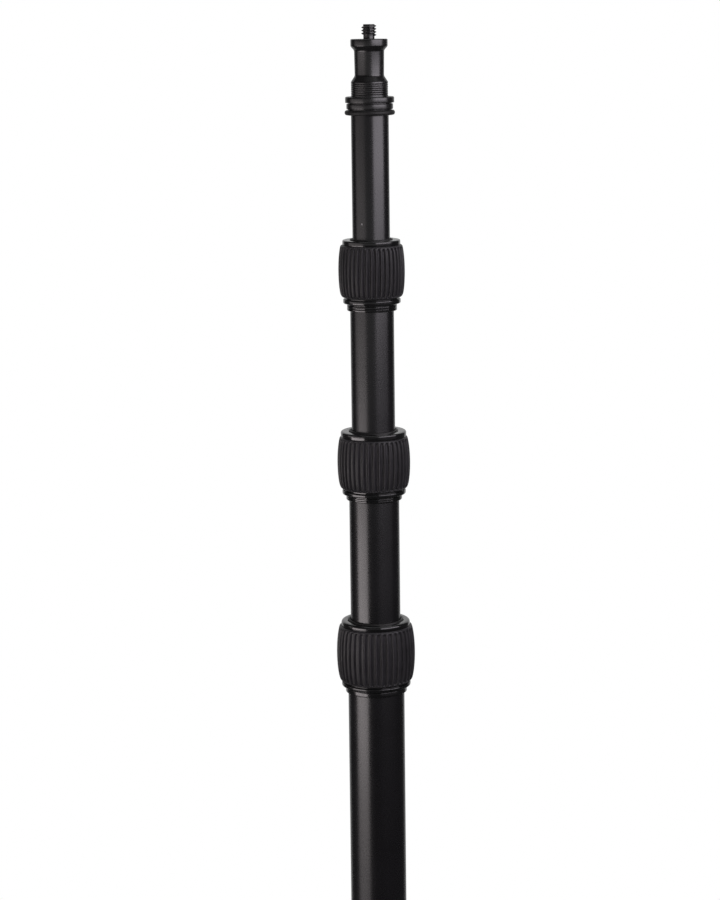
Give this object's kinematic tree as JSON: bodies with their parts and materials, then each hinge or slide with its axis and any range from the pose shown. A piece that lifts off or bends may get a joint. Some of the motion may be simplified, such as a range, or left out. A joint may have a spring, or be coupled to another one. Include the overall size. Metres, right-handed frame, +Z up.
{
  "type": "c stand",
  "caption": "Black telescopic lighting stand: nested tubes with fluted twist locks, a 16 mm grooved stud on top and a base with staggered folding legs.",
  "frame": {"origin": "on the floor under the column's axis", "axes": "+Z up along the column, +Y along the high leg, the T-handle points along -Y"},
  "size_m": [0.6934, 0.6008, 0.869],
  "materials": {
    "black_anodised_tube": "black anodised, satin",
    "black_gloss_ring": "gloss black, turned",
    "grip_rubber": "matt black rubber, fluted",
    "soft_rubber": "black rubber",
    "nylon": "black nylon",
    "black_turned_stud": "black plated, turned",
    "dark_steel": "blackened steel",
    "bright_steel": "bright zinc plate",
    "black_painted_steel": "black powder coat, satin",
    "black_cast": "black powder coat over casting",
    "brass_pad": "bare brass",
    "foot_rubber": "matt black rubber"
  },
  "bodies": {
    "base": {"base_sleeve": "black_painted_steel", "base_cap": "black_painted_steel", "disc_springs": "dark_steel", "collar_spacers": "nylon", "clamp_head": "black_cast", "high_leg_collar": "black_cast", "high_leg_tube": "black_painted_steel", "high_leg_rivet": "bright_steel", "high_leg_foot": "foot_rubber"},
    "low_leg": {"low_leg_collar": "black_cast", "low_leg_tube": "black_painted_steel", "low_leg_rivet": "bright_steel", "low_leg_foot": "foot_rubber"},
    "mid_leg": {"mid_leg_collar": "black_cast", "mid_leg_tube": "black_painted_steel", "mid_leg_rivet": "bright_steel", "mid_leg_foot": "foot_rubber"},
    "clamp_pad": {"brake_pad": "brass_pad"},
    "t_handle": {"clamp_screw": "bright_steel", "t_bar": "bright_steel", "t_bar_caps": "soft_rubber"},
    "column": {"tube_4": "black_anodised_tube", "column_end_cap": "nylon", "lock_3_ferrule": "black_gloss_ring"},
    "riser_3": {"tube_3": "black_anodised_tube", "tube_3_guide": "nylon", "lock_2_ferrule": "black_gloss_ring"},
    "riser_2": {"tube_2": "black_anodised_tube", "tube_2_guide": "nylon", "lock_1_ferrule": "black_gloss_ring"},
    "riser_1": {"tube_1": "black_anodised_tube", "tube_1_guide": "nylon", "stud": "black_turned_stud", "stop_ring": "black_turned_stud", "bumper_ring": "soft_rubber", "grub_screw": "dark_steel"},
    "collet_1": {"lock_1_collet": "nylon"},
    "twist_lock_1": {"lock_1_nut": "black_gloss_ring", "lock_1_grip": "grip_rubber", "lock_1_wiper": "soft_rubber"},
    "collet_2": {"lock_2_collet": "nylon"},
    "twist_lock_2": {"lock_2_nut": "black_gloss_ring", "lock_2_grip": "grip_rubber", "lock_2_wiper": "soft_rubber"},
    "collet_3": {"lock_3_collet": "nylon"},
    "twist_lock_3": {"lock_3_nut": "black_gloss_ring", "lock_3_grip": "grip_rubber", "lock_3_wiper": "soft_rubber"}
  },
  "joints": [
    {"name": "column_lift", "type": "slide", "parent": "base", "child": "column", "axis": [0, 0, 1], "range_m": [0, 0.16]},
    {"name": "riser_3_slide", "type": "slide", "parent": "column", "child": "riser_3", "axis": [0, 0, 1], "range_m": [-0.0535, 0.39]},
    {"name": "riser_2_slide", "type": "slide", "parent": "riser_3", "child": "riser_2", "axis": [0, 0, 1], "range_m": [-0.052, 0.39]},
    {"name": "riser_1_slide", "type": "slide", "parent": "riser_2", "child": "riser_1", "axis": [0, 0, 1], "range_m": [-0.052, 0.39]},
    {"name": "collet_1_rise", "type": "slide", "parent": "riser_2", "child": "collet_1", "axis": [0, 0, 1], "range_m": [0, 0.0005]},
    {"name": "twist_lock_1_turn", "type": "hinge", "parent": "collet_1", "child": "twist_lock_1", "pos_m": [0, 0, 0], "axis": [0, 0, 1], "range_deg": [0, 120]},
    {"name": "collet_2_rise", "type": "slide", "parent": "riser_3", "child": "collet_2", "axis": [0, 0, 1], "range_m": [0, 0.0005]},
    {"name": "twist_lock_2_turn", "type": "hinge", "parent": "collet_2", "child": "twist_lock_2", "pos_m": [0, 0, 0], "axis": [0, 0, 1], "range_deg": [0, 120]},
    {"name": "collet_3_rise", "type": "slide", "parent": "column", "child": "collet_3", "axis": [0, 0, 1], "range_m": [0, 0.0005]},
    {"name": "twist_lock_3_turn", "type": "hinge", "parent": "collet_3", "child": "twist_lock_3", "pos_m": [0, 0, 0], "axis": [0, 0, 1], "range_deg": [0, 120]},
    {"name": "clamp_pad_travel", "type": "slide", "parent": "base", "child": "clamp_pad", "axis": [0, -1, 0], "range_m": [0, 0.00125]},
    {"name": "t_handle_turn", "type": "hinge", "parent": "clamp_pad", "child": "t_handle", "pos_m": [0, 0, 0.19505], "axis": [0, -1, 0], "range_deg": [0, 360]},
    {"name": "mid_leg_swing", "type": "hinge", "parent": "base", "child": "mid_leg", "pos_m": [0, 0, 0.119], "axis": [0, 0, 1], "range_deg": [-105, 0]},
    {"name": "low_leg_swing", "type": "hinge", "parent": "base", "child": "low_leg", "pos_m": [0, 0, 0.079], "axis": [0, 0, 1], "range_deg": [0, 105]}
  ],
  "couplings": [
    {"joint": "twist_lock_1_turn", "follows": "collet_1_rise", "rad_per_m": 4188.8},
    {"joint": "twist_lock_2_turn", "follows": "collet_2_rise", "rad_per_m": 4188.8},
    {"joint": "twist_lock_3_turn", "follows": "collet_3_rise", "rad_per_m": 4188.8},
    {"joint": "t_handle_turn", "follows": "clamp_pad_travel", "rad_per_m": 5026.5}
  ]
}
